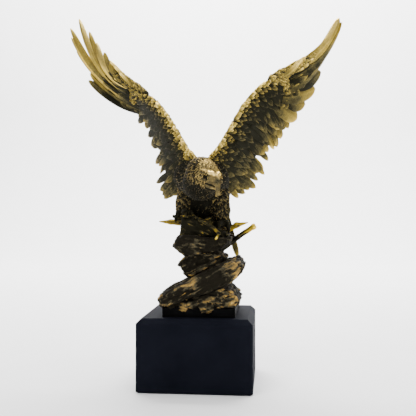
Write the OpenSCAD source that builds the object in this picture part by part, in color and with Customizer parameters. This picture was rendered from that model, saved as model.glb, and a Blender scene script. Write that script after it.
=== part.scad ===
// Eagle statuette: a bronze bird with raised wings, landing on stacked rocks above a black plinth.
// Millimetres, +Z up. The origin is the middle of the resting face, and the bird looks towards -Y.

/* [Plinth] */
// Width and depth of the square plinth
plinth_w = 100; // [96:1:120]
// Height of the plinth block
plinth_h = 62; // [50:1:80]
// Width of the chamfer round the plinth's top edge
plinth_chamfer = 4.5; // [2:0.5:6]
// Radius of the plinth's upright corners
plinth_corner_r = 3; // [1:0.5:4]
// Thickness of the felt under the plinth
felt_h = 1; // [0.5:0.5:2]

/* [Riser] */
// Width of the black riser between plinth and rocks
riser_w = 63; // [60:1:70]
// Depth of the riser, front to back
riser_d = 76; // [72:1:84]
// Height of the riser
riser_h = 8; // [6:1:10]

/* [Fixings] */
// Diameter of the tie rod that holds the rocks down
rod_d = 6; // [5:1:6]
// Diameter of the steel dowels that carry the wings, neck and tail
dowel_d = 4; // [3:0.5:4]
// Radial clearance of every pin and rod in its hole
pin_gap = 0.05; // [0.03:0.01:0.1]

/* [Bird] */
// How far the bird is turned from straight ahead, in degrees
bird_yaw = 10; // [0:1:15]
// Sideways place of the bird and its rocks on the plinth
bird_x = 3; // [0:0.5:4]
// Thickness of a flight feather at its shaft
feather_t = 1.6; // [1.2:0.1:2.4]

/* [Hidden] */
$fn = 48;

// Heights of the stack
plinth_top = felt_h + plinth_h;
riser_top = plinth_top + riser_h;

// Fixing details: M6 nut and washer in a counterbore under the plinth
counterbore_d = 22;
counterbore_h = 16;
washer_h = 1.6;
washer_od = 18;
nut_h = 5;
nut_across_corners = 11.5;
rod_bottom = felt_h + counterbore_h - washer_h - nut_h - 2;
rod_x = bird_x + 1;
riser_dowel_d = 4;
riser_dowel_h = 12;
riser_dowel_gap = 44;

// Rock outlines seen from the front, as [x, z] measured from the middle of the riser's top face
foot_outline = [[-29, 0], [31, 0], [34, 5], [30, 11], [25, 15.5], [21, 17.9], [-23, 2.5]];
ledge_outline = [
    [-37, 6], [-32, 13], [-21, 19], [21, 39], [33, 42], [38, 36],
    [36, 30], [30, 24], [21, 17.9], [-23, 2.5], [-34, 0.5]
];
middle_outline = [[-10, 24.3], [21, 39], [22, 42], [16, 48], [-14, 44], [-21, 36], [-15, 28]];
crown_outline = [[-14, 44], [16, 48], [26, 56], [27, 60], [-18, 63], [-25, 53]];
log_outline = [[-18, 63], [27, 60], [28, 63], [16, 69], [-11, 80], [-18, 78], [-19, 70]];
rod_top = riser_top + 55;

// Where each rock ends at the front and at the back, and the width of its rough bevel
foot_depth = [-37, 33, 6];
ledge_depth = [-40, 26, 8];
middle_depth = [-25, 25, 7];
crown_depth = [-27, 27, 7];

// The log's depth, its two broken stubs as [start, end, start diameter, end diameter], and the stick
log_depth = [-18, 12, 5];
left_stub = [[-14, 0, 145], [-37, -2, 145], 9, 2];
right_stub = [[24, 2, 137], [44, 0, 144.5], 7, 2];
stick = [[20, 12, 120.5], [50, -2, 141], 5.5, 4.4];

// Where the two shanks stand, the hips above them, and the spigots cast under the feet
left_foot_at = [20, -2, riser_top + 69.5];
right_foot_at = [-12, -2, riser_top + 79.5];
left_hip = [17, 3, 166];
right_hip = [-11, 5, 168];
spigot_d = 4;
spigot_h = 9;
spigot_depth = 7;
foot_turn = 8;
// Clearance between a cast piece and the piece it is fitted against
cast_gap = 0.1;

// Each wing: points along its leading edge from shoulder to wrist, the matching points of its trailing
// edge, the line on which the primary feathers leave the hand, then the tips of the ten primaries from
// the inside out, and the alula's root and tips.
left_wing = [
    [[7, -5, 196], [11, -9, 204], [18, -10, 212], [29, -9, 230], [41, -7, 251], [55, -4, 268], [75, 0, 279]],
    [
        [29, 24, 171], [36, 26, 169], [44, 28, 184], [52, 31, 197],
        [61, 33, 210], [69, 33, 222], [79, 32, 233]
    ],
    [[66, 11, 254], [80, 12, 266], [86, 1, 286]],
    [
        [79, 32, 233], [89, 31, 244], [98, 29, 257], [106, 26, 272], [113, 22, 286],
        [127, 10, 322], [128, 9, 325], [129, 8, 327], [128, 7, 330], [127, 6, 331]
    ],
    [68, -3, 277],
    [[94, -5, 291], [90, -6, 289], [86, -6, 286]]
];
right_wing = [
    [[-1, -8, 198], [-6, -9, 206], [-11, -9, 212], [-22, -7, 230], [-31, -5, 244], [-42, -3, 255],
        [-60, 0, 270]],
    [
        [-24, 26, 171], [-34, 30, 172], [-41, 36, 186], [-43, 40, 201],
        [-50, 43, 219], [-57, 45, 237], [-70, 45, 253]
    ],
    [[-55, 30, 250], [-66, 20, 262], [-75, 2, 281]],
    [
        [-113, 28, 285], [-112, 30, 291], [-124, 24, 312], [-128, 22, 325], [-129, 20, 334],
        [-118, 14, 340], [-108, 10, 327], [-99, 6, 315], [-91, 3, 304], [-84, 0, 295]
    ],
    [-57, -3, 268],
    [[-83, -5, 294], [-79, -6, 289], [-74, -6, 284]]
];
primary_count = 10;
arm_count = 13;
// Half thickness of the inner wing at the shoulder and at the wrist
arm_half_root = 4.5;
arm_half_wrist = 2.6;
// Share of the chord at which the shoulder dowel runs
dowel_chord = 0.18;
// Half widths of the primaries from the inside out, and how far their middles bow
primary_half_w = [7, 4];
primary_bow = [3, 9];
alula_half_w = 2.6;

// Body and neck under the feathers, as balls [centre, radius], and the two pins beside the wings'
body_balls = [[[0, -8, 184], 18], [[0, 8, 181], 20], [[0, 26, 170], 13]];
neck_balls = [[[2, -13, 187], 15], [[8, -30, 186], 13]];
neck_pin_ends = [[0, 12, 178], [6, -26, 184]];
tail_pin_ends = [[0, 20, 172], [0, 38, 160]];
hip_r = 12.5;
knee_r = 7.5;
shank_r = 4.2;
toe_splay = 40;

tail_root = [0, 34, 164];
tail_reach = 58;
tail_lean = 20;
tail_half_fan = 23;
tail_count = 12;
tail_half_w = 4.4;

// Head: balls [share of the way from skull to beak tip, lift, radius], joined in pairs
head_centre = [10, -39, 186];
beak_tip = [26, -58, 166];
skull_balls = [[0, 0, 12], [0.28, 0, 10]];
bill_balls = [[0.4, 0, 6.5], [0.75, 2, 4]];
hook_balls = [[0.75, 2, 4], [1, 0, 1.2]];

// Maths
function mix(a, b, t) = a + (b - a) * t;
function along(points, t) =
    let (n = len(points) - 1, k = min(floor(t * n), n - 1))
    mix(points[k], points[k + 1], t * n - k);
function unit(v) = v / norm(v);

// Moves the children from the bird frame to the row frame
module in_bird() {
    translate([bird_x, 0, 0]) rotate([0, 0, -bird_yaw]) children();
}

// A convex rock: an upright outline carried through depth = [front, back, bevel], its ends drawn in
module rock(outline, depth) {
    middle = [for (p = outline) 1] * outline / len(outline);
    n = len(outline);
    rings = [[depth[0], 0.12], [depth[0] + depth[2], 0], [depth[1] - depth[2], 0], [depth[1], 0.12]];
    translate([bird_x, 0, riser_top])
        hull()
            polyhedron(
                points = [
                    for (r = rings) for (p = outline)
                        let (q = mix(p, middle, r[1])) [q[0], r[0], q[1]]
                ],
                faces = concat(
                    [[for (i = [0:n - 1]) i], [for (i = [n - 1:-1:0]) i + 3 * n]],
                    [for (k = [0:2]) for (i = [0:n - 1])
                        [k * n + i, k * n + i + n, k * n + (i + 1) % n + n, k * n + (i + 1) % n]]
                )
            );
}

// A vertical hole round the tie rod
module rod_hole(bottom, top) {
    translate([rod_x, 0, bottom]) cylinder(d = rod_d + 2 * pin_gap, h = top - bottom);
}

// A rod from one point to another
module rod_between(a, b, d1, d2) {
    v = b - a;
    translate(a)
        rotate([0, acos(v[2] / norm(v)), atan2(v[1], v[0])])
            cylinder(d1 = d1, d2 = d2, h = norm(v));
}

// One flight feather: a chain of flat convex pieces from root to tip.
// bow lifts its middle along the face direction, and side is the direction across the vane.
module feather(root, tip, half_w, face, bow) {
    stations = [[0, 0.45], [0.3, 0.9], [0.7, 1], [0.92, 0.7], [1, 0.15]];
    run = unit(tip - root);
    side = unit(cross(run, face));
    flat = unit(cross(side, run));
    for (i = [0:len(stations) - 2])
        hull()
            polyhedron(
                points = [
                    for (s = [stations[i], stations[i + 1]]) for (w = [-1, 1]) for (t = [-0.5, 0.5])
                        mix(root, tip, s[0]) + side * w * half_w * s[1]
                            + flat * (bow * sin(180 * s[0]) + t * feather_t * (0.4 + 0.6 * s[1]))
                ],
                faces = [[0, 1, 3, 2], [4, 6, 7, 5], [0, 4, 5, 1], [2, 3, 7, 6], [0, 2, 6, 4], [1, 5, 7, 3]]
            );
}

// The convex form round some balls, grown by skin for the pieces that are fitted against it
module over_balls(balls, skin = 0) {
    hull() for (ball = balls) translate(ball[0]) sphere(r = ball[1] + skin, $fn = 24);
}

module body_form(skin = 0) {
    over_balls(body_balls, skin);
}

module neck_form(skin = 0) {
    over_balls(neck_balls, skin);
}

module base_felt() {
    color("#202022")
        translate([0, 0, felt_h / 2]) cube([plinth_w - 4, plinth_w - 4, felt_h], center = true);
}

// Chamfered block with a counterbored hole for the rod and two dowel holes
module plinth() {
    half = plinth_w / 2;
    side_view = [
        [-half, 0], [half, 0], [half, plinth_h - plinth_chamfer], [half - plinth_chamfer, plinth_h],
        [plinth_chamfer - half, plinth_h], [-half, plinth_h - plinth_chamfer]
    ];
    color("#14161c")
        translate([0, 0, felt_h])
            difference() {
                intersection() {
                    translate([0, half, 0]) rotate([90, 0, 0]) linear_extrude(plinth_w) polygon(side_view);
                    translate([-half, 0, 0]) rotate([90, 0, 90]) linear_extrude(plinth_w) polygon(side_view);
                    upright_corners();
                }
                translate([rod_x, 0, -1]) cylinder(d = counterbore_d, h = counterbore_h + 1);
                translate([rod_x, 0, 0]) cylinder(d = rod_d + 2 * pin_gap, h = plinth_h + 1);
                riser_dowel_places(plinth_h - riser_dowel_h / 2)
                    cylinder(d = riser_dowel_d + 2 * pin_gap, h = riser_dowel_h);
            }
}

// Square prism whose four upright edges are true quarter rounds
module upright_corners() {
    r = plinth_corner_r;
    w = plinth_w;
    union() {
        translate([-w / 2, r - w / 2, 0]) cube([w, w - 2 * r, plinth_h]);
        translate([r - w / 2, -w / 2, 0]) cube([w - 2 * r, w, plinth_h]);
        for (x = [-1, 1]) for (y = [-1, 1])
            translate([x * (w / 2 - r), y * (w / 2 - r), 0]) cylinder(r = r, h = plinth_h);
    }
}

module riser_dowel_places(z) {
    for (y = [-1, 1]) translate([bird_x, y * riser_dowel_gap / 2, z]) children();
}

module riser_block() {
    color("#0c0c0e")
        difference() {
            translate([bird_x - riser_w / 2, -riser_d / 2, plinth_top]) cube([riser_w, riser_d, riser_h]);
            rod_hole(plinth_top - 1, riser_top + 1);
            riser_dowel_places(plinth_top - 1)
                cylinder(d = riser_dowel_d + 2 * pin_gap, h = riser_dowel_h / 2 + 1);
        }
}

module riser_dowels() {
    color("silver")
        riser_dowel_places(plinth_top - riser_dowel_h / 2) cylinder(d = riser_dowel_d, h = riser_dowel_h);
}

module tie_rod() {
    color("silver")
        translate([rod_x, 0, rod_bottom]) cylinder(d = rod_d, h = rod_top - rod_bottom);
}

module tie_rod_washer() {
    color("silver")
        translate([rod_x, 0, felt_h + counterbore_h - washer_h])
            difference() {
                cylinder(d = washer_od, h = washer_h);
                translate([0, 0, -1]) cylinder(d = rod_d + 0.4, h = washer_h + 2);
            }
}

module tie_rod_nut() {
    color("silver")
        translate([rod_x, 0, felt_h + counterbore_h - washer_h - nut_h])
            difference() {
                cylinder(d = nut_across_corners, h = nut_h, $fn = 6);
                translate([0, 0, -1]) cylinder(d = rod_d + 2 * pin_gap, h = nut_h + 2);
            }
}

module rock_foot() {
    color("#8a6a3a")
        difference() {
            rock(foot_outline, foot_depth);
            rod_hole(riser_top - 1, riser_top + 30);
        }
}

module rock_ledge() {
    color("#a8823f")
        difference() {
            rock(ledge_outline, ledge_depth);
            rod_hole(riser_top, riser_top + 45);
        }
}

module rock_middle() {
    color("#4c4836")
        difference() {
            rock(middle_outline, middle_depth);
            rod_hole(riser_top + 20, riser_top + 60);
        }
}

module rock_crown() {
    color("#403c2e")
        difference() {
            rock(crown_outline, crown_depth);
            rod_hole(riser_top + 40, rod_top + 0.5);
            stub(stick, 2 * pin_gap);
        }
}

// Driftwood log under the talons, with a broken stub at each end
module perch_log() {
    color("#544a2c")
        difference() {
            union() {
                rock(log_outline, log_depth);
                stub(left_stub);
                stub(right_stub);
            }
            foot_spigot(left_foot_at, cast_gap);
            foot_spigot(right_foot_at, cast_gap);
        }
}

// A tapered branch, grown by this much in diameter for the pieces cut round it
module stub(branch, grow = 0) {
    rod_between(branch[0], branch[1], branch[2] + grow, branch[3] + grow);
}

module side_twig() {
    color("#a07a2a") stub(stick);
}

// Spigot cast on a foot, which sits in a hole in the log
module foot_spigot(at, grow = 0) {
    translate(at - [0, 0, spigot_depth]) cylinder(d = spigot_d + 2 * grow, h = spigot_h);
}

// Four clawed toes round a short shank, cut off where they meet the log, and the spigot under them
module foot(at, turn) {
    difference() {
        translate(at) {
            shank();
            for (a = [-toe_splay, 0, toe_splay, 180])
                rotate([0, 0, turn + a])
                    hull() {
                        translate([0, -2, 3]) sphere(r = 2.6, $fn = 8);
                        translate([0, -13, 2.5]) sphere(r = 2.2, $fn = 8);
                        translate([0, -17, -4]) sphere(r = 0.7, $fn = 8);
                    }
        }
        rock(log_outline, log_depth);
    }
    foot_spigot(at);
}

module shank(skin = 0) {
    hull() {
        translate([0, 0, 4]) sphere(r = shank_r + skin, $fn = 16);
        translate([0, 2, 9]) sphere(r = shank_r + skin, $fn = 16);
    }
}

module left_foot() {
    color("#a88b3c")
        difference() {
            foot(left_foot_at, foot_turn);
            stub(right_stub, 2 * cast_gap);
        }
}

module right_foot() {
    color("#a88b3c")
        difference() {
            foot(right_foot_at, -foot_turn);
            stub(left_stub, 2 * cast_gap);
        }
}

// Feathered thigh from the body down to the shank
module thigh(at, hip) {
    difference() {
        hull() {
            translate(hip) sphere(r = hip_r, $fn = 20);
            translate(at + [0, 3, 13]) sphere(r = knee_r, $fn = 20);
        }
        in_bird() body_form(cast_gap);
        translate(at) shank(cast_gap);
    }
}

module left_leg() {
    color("#4a4630") thigh(left_foot_at, left_hip);
}

module right_leg() {
    color("#4a4630") thigh(right_foot_at, right_hip);
}

module torso() {
    color("#3c3a2a")
        difference() {
            in_bird() body_form();
            in_bird() neck_form(cast_gap);
            for (wing = [left_wing, right_wing]) wing_dowel(wing, 2 * pin_gap);
            in_bird() neck_pin(2 * pin_gap);
            in_bird() tail_pin(2 * pin_gap);
        }
}

function dowel_point(wing, t) = mix(along(wing[0], t), along(wing[1], t), dowel_chord);

module wing_dowel(wing, grow = 0) {
    inner = dowel_point(wing, 0.1);
    outer = dowel_point(wing, 0.45);
    rod_between(mix(inner, outer, -0.35), outer, dowel_d + grow, dowel_d + grow);
}

module wing_dowels() {
    color("silver") {
        wing_dowel(left_wing);
        wing_dowel(right_wing);
    }
}

module neck_pin(grow = 0) {
    rod_between(neck_pin_ends[0], neck_pin_ends[1], dowel_d + grow, dowel_d + grow);
}

module neck_dowel() {
    color("silver") in_bird() neck_pin();
}

module tail_pin(grow = 0) {
    rod_between(tail_pin_ends[0], tail_pin_ends[1], dowel_d + grow, dowel_d + grow);
}

module tail_dowel() {
    color("silver") in_bird() tail_pin();
}

// One convex piece of the head round two balls
module head_piece(balls) {
    hull()
        for (ball = balls)
            translate(mix(head_centre, beak_tip, ball[0]) + [0, 0, ball[1]]) sphere(r = ball[2], $fn = 20);
}

// Skull and hooked beak on a feathered neck, whose back is notched for the wings' dowels
module head() {
    color("#8c7848")
        difference() {
            in_bird() {
                neck_form();
                head_piece(skull_balls);
                head_piece(bill_balls);
                head_piece(hook_balls);
            }
            for (wing = [left_wing, right_wing]) wing_dowel(wing, 2 * pin_gap);
            in_bird() neck_pin(2 * pin_gap);
        }
}

// Fan of tail feathers that hangs behind the rocks
module tail_fan() {
    color("#5c5434")
        in_bird()
            difference() {
                union() {
                    hull() {
                        translate(tail_root) sphere(r = 9, $fn = 16);
                        translate(tail_root + [0, 6, -16]) sphere(r = 6, $fn = 16);
                    }
                    for (i = [0:tail_count - 1]) {
                        a = mix(-tail_half_fan, tail_half_fan, i / (tail_count - 1));
                        feather(
                            tail_root + [a * 0.1, 0, 0],
                            tail_root + [
                                tail_reach * sin(a),
                                tail_reach * sin(tail_lean) - abs(a) * 0.15,
                                -tail_reach * cos(a) * cos(tail_lean)
                            ],
                            tail_half_w, [1.6 * sin(a), 1, 0.3], 2 + i % 2
                        );
                    }
                }
                body_form(cast_gap);
                tail_pin(2 * pin_gap);
            }
}

// Inner wing: a chain of convex chord sections whose trailing edge steps out at each feather tip
module arm_form(wing) {
    for (i = [0:arm_count - 1]) wing_section(wing, i / arm_count, (i + 1) / arm_count);
}

function chord_vector(wing, t) = along(wing[1], t) - along(wing[0], t);
function arm_face(wing, a, b) =
    unit(cross(along(wing[0], b) - along(wing[0], a), chord_vector(wing, (a + b) / 2)));

// Ring of eight points round the inner wing's section at station t, its trailing edge at share reach
function section_ring(wing, t, face, reach) =
    let (half = face * mix(arm_half_root, arm_half_wrist, t))
    [
        for (s = [
            [0, 0.35], [0.15, 1], [0.5, 0.5], [reach, 0.25],
            [reach, -0.25], [0.5, -0.5], [0.15, -1], [0, -0.35]
        ])
            along(wing[0], t) + chord_vector(wing, t) * s[0] + half * s[1]
    ];

// The part of the inner wing between two stations; 0 is the shoulder and 1 the wrist
module wing_section(wing, a, b) {
    face = arm_face(wing, a, b);
    hull()
        polyhedron(
            points = concat(section_ring(wing, a, face, 0.93), section_ring(wing, b, face, 1)),
            faces = concat(
                [[0, 1, 2, 3, 4, 5, 6, 7], [15, 14, 13, 12, 11, 10, 9, 8]],
                [for (i = [0:7]) [i, i + 8, (i + 1) % 8 + 8, (i + 1) % 8]]
            )
        );
}

module wing_arm(wing) {
    difference() {
        arm_form(wing);
        in_bird() body_form(cast_gap);
        in_bird() neck_form(cast_gap);
        wing_dowel(wing, 2 * pin_gap);
    }
}

module hand_form(wing) {
    roots = wing[2];
    face = arm_face(wing, 0.7, 1);
    under = face[2] < 0 ? face : -face;
    for (i = [0:primary_count - 1]) {
        t = i / (primary_count - 1);
        half_w = mix(primary_half_w[0], primary_half_w[1], t);
        bow = mix(primary_bow[0], primary_bow[1], t);
        feather(along(roots, t), wing[3][i], half_w, under, bow);
    }
    hull() for (root = roots) translate(root) sphere(r = 3.2, $fn = 12);
}

// Outer wing: the ten primaries on the hand
module wing_hand(wing) {
    difference() {
        hand_form(wing);
        arm_form(wing);
    }
}

// The small tuft of feathers on the wrist
module alula(wing) {
    difference() {
        for (tip = wing[5]) feather(wing[4], tip, alula_half_w, arm_face(wing, 0.7, 1), 1);
        arm_form(wing);
        hand_form(wing);
    }
}

module left_wing_arm() {
    color("#4a4834") wing_arm(left_wing);
}

module right_wing_arm() {
    color("#4a4834") wing_arm(right_wing);
}

module left_wing_hand() {
    color("#9c8a50") wing_hand(left_wing);
}

module right_wing_hand() {
    color("#9c8a50") wing_hand(right_wing);
}

module left_alula() {
    color("#b09c58") alula(left_wing);
}

module right_alula() {
    color("#b09c58") alula(right_wing);
}

base_felt();
plinth();
riser_block();
tie_rod();
tie_rod_nut();
tie_rod_washer();
riser_dowels();
rock_foot();
rock_ledge();
rock_middle();
rock_crown();
perch_log();
side_twig();
torso();
head();
tail_fan();
left_leg();
right_leg();
left_foot();
right_foot();
left_wing_arm();
right_wing_arm();
left_wing_hand();
right_wing_hand();
left_alula();
right_alula();
wing_dowels();
neck_dowel();
tail_dowel();
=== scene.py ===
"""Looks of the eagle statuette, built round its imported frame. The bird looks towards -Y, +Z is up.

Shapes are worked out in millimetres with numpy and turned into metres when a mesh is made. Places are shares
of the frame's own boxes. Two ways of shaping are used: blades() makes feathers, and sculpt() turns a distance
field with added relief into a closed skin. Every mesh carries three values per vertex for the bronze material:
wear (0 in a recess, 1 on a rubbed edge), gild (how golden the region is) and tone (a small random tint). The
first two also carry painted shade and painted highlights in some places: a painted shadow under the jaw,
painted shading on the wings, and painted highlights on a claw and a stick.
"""
import math

import bpy
import numpy as np
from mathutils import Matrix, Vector


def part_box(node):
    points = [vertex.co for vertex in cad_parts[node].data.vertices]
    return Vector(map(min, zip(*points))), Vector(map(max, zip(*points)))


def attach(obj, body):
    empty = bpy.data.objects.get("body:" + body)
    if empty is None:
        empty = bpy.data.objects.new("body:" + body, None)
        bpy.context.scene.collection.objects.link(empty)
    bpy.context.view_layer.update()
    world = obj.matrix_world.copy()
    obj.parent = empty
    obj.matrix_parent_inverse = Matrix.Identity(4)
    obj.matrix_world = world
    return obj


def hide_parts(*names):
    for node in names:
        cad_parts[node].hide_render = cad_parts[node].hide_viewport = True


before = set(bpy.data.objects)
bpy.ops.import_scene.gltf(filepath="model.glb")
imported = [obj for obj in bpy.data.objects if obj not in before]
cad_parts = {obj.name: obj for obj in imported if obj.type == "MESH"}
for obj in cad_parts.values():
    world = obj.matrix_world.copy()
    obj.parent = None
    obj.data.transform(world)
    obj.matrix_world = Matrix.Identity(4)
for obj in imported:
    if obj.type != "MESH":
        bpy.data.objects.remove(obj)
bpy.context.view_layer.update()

rng = np.random.default_rng(7)
MM = 0.001


# ---- places in the frame


def box(*nodes):
    """Lowest and highest corner of some CAD nodes together, in millimetres."""
    corners = [np.array(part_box(node)) / MM for node in nodes]
    return np.min([c[0] for c in corners], axis=0), np.max([c[1] for c in corners], axis=0)


def spot(bounds, shares):
    """Points at these shares of a box."""
    low, high = bounds
    return low + (high - low) * np.asarray(shares, float)


def unit(v):
    return v / np.maximum(np.linalg.norm(v, axis=-1, keepdims=True), 1e-9)


def smooth(x, low=0.0, high=1.0):
    x = np.clip((x - low) / (high - low), 0, 1)
    return x * x * (3 - 2 * x)


def curve(points, t):
    """Smooth curve through evenly spaced points; t runs from 0 to 1."""
    points = np.asarray(points, float)
    last = len(points) - 1
    x = np.asarray(t, float) * last
    k = np.clip(np.floor(x).astype(int), 0, last - 1)
    f = (x - k)[..., None]
    slope = np.gradient(points, axis=0)
    return (
        points[k] * (1 + 2 * f) * (1 - f) ** 2
        + slope[k] * f * (1 - f) ** 2
        + points[k + 1] * f * f * (3 - 2 * f)
        + slope[k + 1] * f * f * (f - 1)
    )


# ---- noise


def lattice(cell, seed):
    """A fixed pseudo-random value from -1 to 1 for each whole-number cell."""
    x, y, z = np.moveaxis(cell, -1, 0)
    h = (x * 73856093 ^ y * 19349663 ^ z * 83492791 ^ (seed + 11) * 2654435761) & 0xFFFFFFFF
    h = ((h ^ (h >> 15)) * 2246822519) & 0xFFFFFFFF
    h = ((h ^ (h >> 13)) * 3266489917) & 0xFFFFFFFF
    return ((h ^ (h >> 16)) & 0xFFFF) / 32767.5 - 1


def noise(points, size, seed=0):
    """Smooth noise from -1 to 1 with features of about this size in millimetres, or one size per axis."""
    p = points / np.asarray(size, float)
    cell = np.floor(p).astype(np.int64)
    f = p - cell
    f = f * f * (3 - 2 * f)
    total = np.zeros(p.shape[:-1])
    for corner in np.ndindex(2, 2, 2):
        corner = np.array(corner)
        weight = np.prod(np.where(corner, f, 1 - f), axis=-1)
        total += weight * lattice(cell + corner, seed)
    return total


def fractal(points, size, seed=0, octaves=3):
    size = np.asarray(size, float)
    return sum(noise(points, size / 2**k, seed + k) / 2**k for k in range(octaves)) / 1.6


def chips(points, size, seed=0):
    """Broken stone: every cell of an uneven mosaic is a flat chip with its own height and tilt."""
    p = points / np.asarray(size, float)
    base = np.floor(p - 0.5).astype(np.int64)
    nearest = np.full(p.shape[:-1], np.inf)
    height = np.zeros(p.shape[:-1])
    for step in np.ndindex(2, 2, 2):
        cell = base + np.array(step)
        middle = cell + 0.5 + 0.38 * np.stack([lattice(cell, seed + k) for k in range(3)], axis=-1)
        away = p - middle
        distance = np.sum(away**2, axis=-1)
        tilt = np.stack([lattice(cell, seed + 3 + k) for k in range(3)], axis=-1)
        chip = 0.7 * lattice(cell, seed + 6) + np.sum(tilt * away, axis=-1)
        height = np.where(distance < nearest, chip, height)
        nearest = np.minimum(nearest, distance)
    return height


# ---- meshes


class Clay:
    """Closed shells gathered into one mesh, all of quads."""

    def __init__(self):
        self.points = []
        self.quads = []
        self.facts = []
        self.count = 0

    def add(self, points, quads, wear_and_painted_light, gild_and_painted_light, tone):
        points = points.reshape(-1, 3)
        self.points.append(points)
        self.quads.append(quads + self.count)
        facts = [np.broadcast_to(np.asarray(x, float).ravel() if np.ndim(x) else x, len(points))
                 for x in (wear_and_painted_light, gild_and_painted_light, tone)]
        self.facts.append(np.stack(facts, axis=-1))
        self.count += len(points)

    def mesh(self, name, material):
        points = np.concatenate(self.points)
        facts = np.clip(np.concatenate(self.facts), 0, 1)
        mesh = bpy.data.meshes.new(name)
        mesh.from_pydata((points * MM).tolist(), [], np.concatenate(self.quads).tolist())
        for k, key in enumerate(("wear_and_painted_light", "gild_and_painted_light", "tone")):
            values = mesh.attributes.new(key, "FLOAT", "POINT").data
            values.foreach_set("value", facts[:, k].astype(np.float32))
        mesh.shade_smooth()
        mesh.materials.append(material)
        mesh.validate()
        made = bpy.data.objects.new(name, mesh)
        bpy.context.collection.objects.link(made)
        return made


def tube_quads(count, rows, ring):
    """Faces of count closed tubes of rows rings, each ring an even number of points, both ends capped."""
    i, j = np.meshgrid(np.arange(rows - 1), np.arange(ring), indexing="ij")
    walls = np.stack([i * ring + j, i * ring + (j + 1) % ring, (i + 1) * ring + (j + 1) % ring,
                      (i + 1) * ring + j], axis=-1).reshape(-1, 4)
    k = np.arange(ring // 2 - 1)
    cap = np.stack([k, ring - 1 - k, ring - 2 - k, k + 1], axis=-1)
    one = np.concatenate([walls, cap, cap[:, ::-1] + (rows - 1) * ring])
    return (one[None] + (np.arange(count) * rows * ring)[:, None, None]).reshape(-1, 4)


CORNERS = np.array(list(np.ndindex(2, 2, 2)))
CELL_EDGES = [(a, a | bit) for a in range(8) for bit in (1, 2, 4) if not a & bit]


def skin_of(field, low, step):
    """Closed quad skin where a sampled distance field changes sign."""
    inside = field < 0
    cells_shape = np.array(field.shape) - 1
    tally = np.zeros(cells_shape, np.int8)
    for c in CORNERS:
        tally += inside[tuple(slice(a, a + n) for a, n in zip(c, cells_shape))]
    active = (tally > 0) & (tally < 8)
    cells = np.argwhere(active)
    number = np.full(cells_shape, -1)
    number[active] = np.arange(len(cells))
    at = cells[:, None] + CORNERS[None]
    values = field[at[..., 0], at[..., 1], at[..., 2]]
    total = np.zeros((len(cells), 3))
    crossings = np.zeros((len(cells), 1))
    for a, b in CELL_EDGES:
        cross = (values[:, a] < 0) != (values[:, b] < 0)
        share = np.where(cross, values[:, a] / np.where(cross, values[:, a] - values[:, b], 1), 0)[:, None]
        total += cross[:, None] * (CORNERS[a] + share * (CORNERS[b] - CORNERS[a]))
        crossings += cross[:, None]
    points = low + step * (cells + total / crossings)
    quads = []
    for axis in range(3):
        u, v = np.eye(3, dtype=int)[(axis + 1) % 3], np.eye(3, dtype=int)[(axis + 2) % 3]
        first = np.moveaxis(inside, axis, 0)[:-1]
        second = np.moveaxis(inside, axis, 0)[1:]
        edges = np.argwhere(np.moveaxis(first != second, 0, axis))
        others = [(axis + 1) % 3, (axis + 2) % 3]
        edges = edges[np.all((edges[:, others] > 0) & (edges[:, others] < cells_shape[others]), axis=1)]
        ring = np.stack([number[tuple((edges + d).T)] for d in (-u - v, -v, 0 * u, -u)], axis=-1)
        outward = inside[tuple(edges.T)]
        quads.append(np.where(outward[:, None], ring, ring[:, ::-1]))
    return points, np.concatenate(quads)


def grid(low, high, step):
    """Sample points of a box, every step."""
    axes = [np.arange(a, b + step, step) for a, b in zip(low, high)]
    return np.stack(np.meshgrid(*axes, indexing="ij"), axis=-1)


def sculpt(clay, shape, bounds, step, relief=None, reach=3.0, gild_and_painted_light=0.3, wear_and_painted_light=0.35):
    """Adds the skin of a distance field to clay. relief(points) gives (height, wear, gild) near the skin."""
    low, high = bounds[0] - reach - 2 * step, bounds[1] + reach + 2 * step
    samples = grid(low, high, step)
    field = shape(samples)
    if relief:
        near = np.abs(field) < reach
        field[near] -= relief(samples[near])[0]
    points, quads = skin_of(field, low, step)
    if relief:
        _, wear_and_painted_light, gild_and_painted_light = relief(points)
    clay.add(points, quads, wear_and_painted_light, gild_and_painted_light, 0.5)


# ---- distance fields, in millimetres


def ball(p, centre, radii):
    """Ellipsoid; exact for a sphere."""
    radii = np.asarray(radii, float) * np.ones(3)
    q = (p - centre) / radii
    k0 = np.linalg.norm(q, axis=-1)
    k1 = np.linalg.norm(q / radii, axis=-1)
    return k0 * (k0 - 1) / np.maximum(k1, 1e-6)


def cone(p, a, b, ra, rb):
    """Rod with round ends whose radius runs from ra to rb."""
    a, b = np.asarray(a, float), np.asarray(b, float)
    ab = b - a
    h = np.clip((p - a) @ ab / (ab @ ab), 0, 1)
    return np.linalg.norm(p - a - h[..., None] * ab, axis=-1) - (ra + (rb - ra) * h)


def join(a, b, soft):
    """Union of two fields with a fillet of about this size."""
    h = np.clip(0.5 + 0.5 * (b - a) / soft, 0, 1)
    return b + (a - b) * h - soft * h * (1 - h)


def cut(a, b, soft):
    """Field a without field b."""
    return -join(-a, b, soft)


def chain(p, points, radii, soft=1.0):
    """A bent rod through several points."""
    field = cone(p, points[0], points[1], radii[0], radii[1])
    for k in range(1, len(points) - 1):
        field = join(field, cone(p, points[k], points[k + 1], radii[k], radii[k + 1]), soft)
    return field


def planes_of(node):
    """The outer faces of a convex CAD node as (normal, offset), its bores left out."""
    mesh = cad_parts[node].data
    points = np.array([v.co[:] for v in mesh.vertices]) / MM
    normals = unit(np.array([f.normal[:] for f in mesh.polygons]))
    offsets = np.array([f.center[:] for f in mesh.polygons]) / MM
    offsets = np.sum(normals * offsets, axis=1)
    outer = np.all(points @ normals.T <= offsets + 0.05, axis=0)
    found = np.unique(np.round(np.column_stack([normals, offsets])[outer], 3), axis=0)
    return found[:, :3], found[:, 3]


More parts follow.
